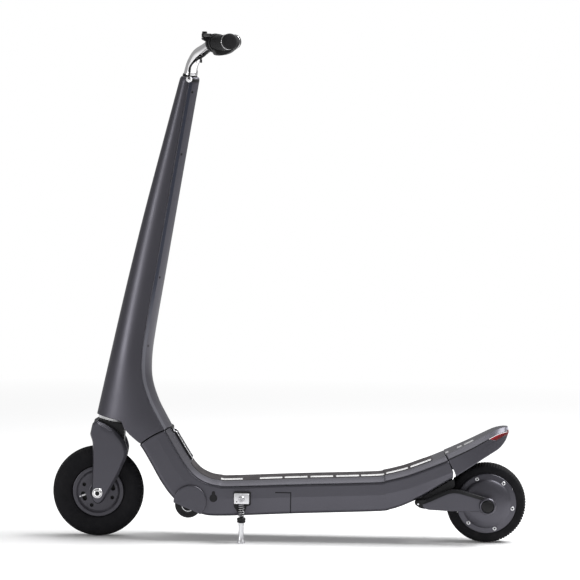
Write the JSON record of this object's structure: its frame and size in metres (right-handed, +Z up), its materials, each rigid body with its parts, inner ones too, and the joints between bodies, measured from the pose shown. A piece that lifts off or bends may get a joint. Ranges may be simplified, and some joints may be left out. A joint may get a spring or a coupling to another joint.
{
  "type": "electric scooter",
  "caption": "Folding electric kick scooter with a tapered mast, hub motor rear wheel, sprung swing arm, rear foot brake and kickstand.",
  "frame": {"origin": "on the floor in the scooter's middle plane, under the middle of its length", "axes": "+X towards the rear, +Y towards the rider's right-hand side, +Z up"},
  "size_m": [1.043, 0.5206, 1.1134],
  "materials": {
    "body": "satin metallic dark grey",
    "black": "satin",
    "rubber": "matt",
    "tyre": "matt",
    "mat": "ribbed, matt",
    "chrome": "polished",
    "steel": "brushed",
    "silver": "satin",
    "red": "clear red",
    "white": "satin",
    "copper": "lacquered winding",
    "blue": "shrink film"
  },
  "bodies": {
    "deck": {"deck_tub": "body", "deck_cover": "body", "neck_block": "silver", "fold_pin": "steel", "grip_mat": "mat", "battery_pack": "blue", "controller_box": "silver", "charge_port_cap": "rubber", "rear_bulkhead": "black", "trolley_axle": "steel", "trolley_cover_left": "body", "trolley_cover_right": "body", "stand_plate": "black", "stand_bolt": "steel", "arm_pivot_pin": "steel", "suspension_rubber": "rubber"},
    "mast": {"mast_shell": "body", "mast_rear_cover": "body", "mast_base": "body", "mast_cap": "black", "lower_bearing": "steel", "cable_grommet": "white"},
    "steering": {"fork": "body", "fork_guard": "black", "steering_tube": "steel", "front_axle": "steel", "handlebar": "chrome", "stem_collar": "black", "grip_left": "rubber", "grip_right": "rubber", "grip_ring_left": "chrome", "grip_ring_right": "chrome", "control_housing_left": "black", "control_housing_right": "black", "lever_screw": "steel", "control_cable": "rubber"},
    "front_wheel": {"front_rim": "black", "front_tyre": "tyre"},
    "arm": {"swing_arm": "body", "rear_axle": "steel", "axle_cap_left": "body", "axle_cap_right": "body", "hub_stator": "copper"},
    "rear_wheel": {"rear_tyre": "tyre", "hub_shell": "body", "hub_cover": "body"},
    "tail": {"tail_fender": "body", "tail_bracket": "black", "tail_lamp": "red", "brake_pad": "rubber"},
    "kickstand": {"stand_head": "silver", "stand_rod": "black", "stand_leg": "silver", "stand_spring": "steel"},
    "latch": {"latch_lever": "silver"},
    "trolley_left": {"trolley_wheel_left": "rubber"},
    "trolley_right": {"trolley_wheel_right": "rubber"},
    "lever": {"brake_lever": "black"},
    "paddle_left": {"thumb_paddle_left": "black"},
    "paddle_right": {"thumb_paddle_right": "black"}
  },
  "joints": [
    {"name": "fold", "type": "hinge", "parent": "deck", "child": "mast", "pos_m": [-0.2635, 0, 0.2402], "axis": [0, 1, 0], "range_deg": [0, 82]},
    {"name": "steer", "type": "hinge", "parent": "mast", "child": "steering", "pos_m": [-0.39267, 0, 0.26399], "axis": [0.2079, 0, 0.9781], "range_deg": [-50, 50]},
    {"name": "front_wheel_spin", "type": "hinge", "parent": "steering", "child": "front_wheel", "pos_m": [-0.4215, 0, 0.1], "axis": [0, 1, 0], "continuous": true},
    {"name": "arm_swing", "type": "hinge", "parent": "deck", "child": "arm", "pos_m": [0.2815, 0, 0.0905], "axis": [0, 1, 0], "range_deg": [-4, 0], "stiffness_Nm_per_rad": 400, "springref_deg": 6.59, "deforming": ["suspension_rubber"]},
    {"name": "rear_wheel_spin", "type": "hinge", "parent": "arm", "child": "rear_wheel", "pos_m": [0.4335, 0, 0.088], "axis": [0, 1, 0], "continuous": true},
    {"name": "foot_brake", "type": "hinge", "parent": "deck", "child": "tail", "pos_m": [0.3375, 0, 0.174], "axis": [0, 1, 0], "range_deg": [0, 5.5], "stiffness_Nm_per_rad": 10, "springref_deg": -14.32},
    {"name": "kickstand_swing", "type": "hinge", "parent": "deck", "child": "kickstand", "pos_m": [-0.1045, -0.0858, 0.098], "axis": [0, 1, 0], "range_deg": [-90, 0]},
    {"name": "latch_lift", "type": "hinge", "parent": "deck", "child": "latch", "pos_m": [-0.24961, 0, 0.22273], "axis": [0, 1, 0], "range_deg": [-35, 0], "stiffness_Nm_per_rad": 0.5, "springref_deg": 17.19},
    {"name": "trolley_spin_left", "type": "hinge", "parent": "deck", "child": "trolley_left", "pos_m": [-0.2215, -0.06, 0.08], "axis": [0, 1, 0], "continuous": true},
    {"name": "trolley_spin_right", "type": "hinge", "parent": "deck", "child": "trolley_right", "pos_m": [-0.2215, 0.06, 0.08], "axis": [0, 1, 0], "continuous": true},
    {"name": "brake_squeeze", "type": "hinge", "parent": "steering", "child": "lever", "pos_m": [-0.19895, -0.13606, 1.10481], "axis": [-0.0091, 0.0306, 0.9995], "range_deg": [0, 7], "stiffness_Nm_per_rad": 1, "springref_deg": -11.46},
    {"name": "paddle_press_left", "type": "hinge", "parent": "steering", "child": "paddle_left", "pos_m": [-0.17081, -0.15538, 1.08915], "axis": [-0.2839, 0.9583, -0.0319], "range_deg": [0, 25], "stiffness_Nm_per_rad": 0.3, "springref_deg": -17.19},
    {"name": "paddle_press_right", "type": "hinge", "parent": "steering", "child": "paddle_right", "pos_m": [-0.17081, 0.15538, 1.08915], "axis": [0.2839, 0.9583, 0.0319], "range_deg": [0, 25], "stiffness_Nm_per_rad": 0.3, "springref_deg": -17.19}
  ]
}
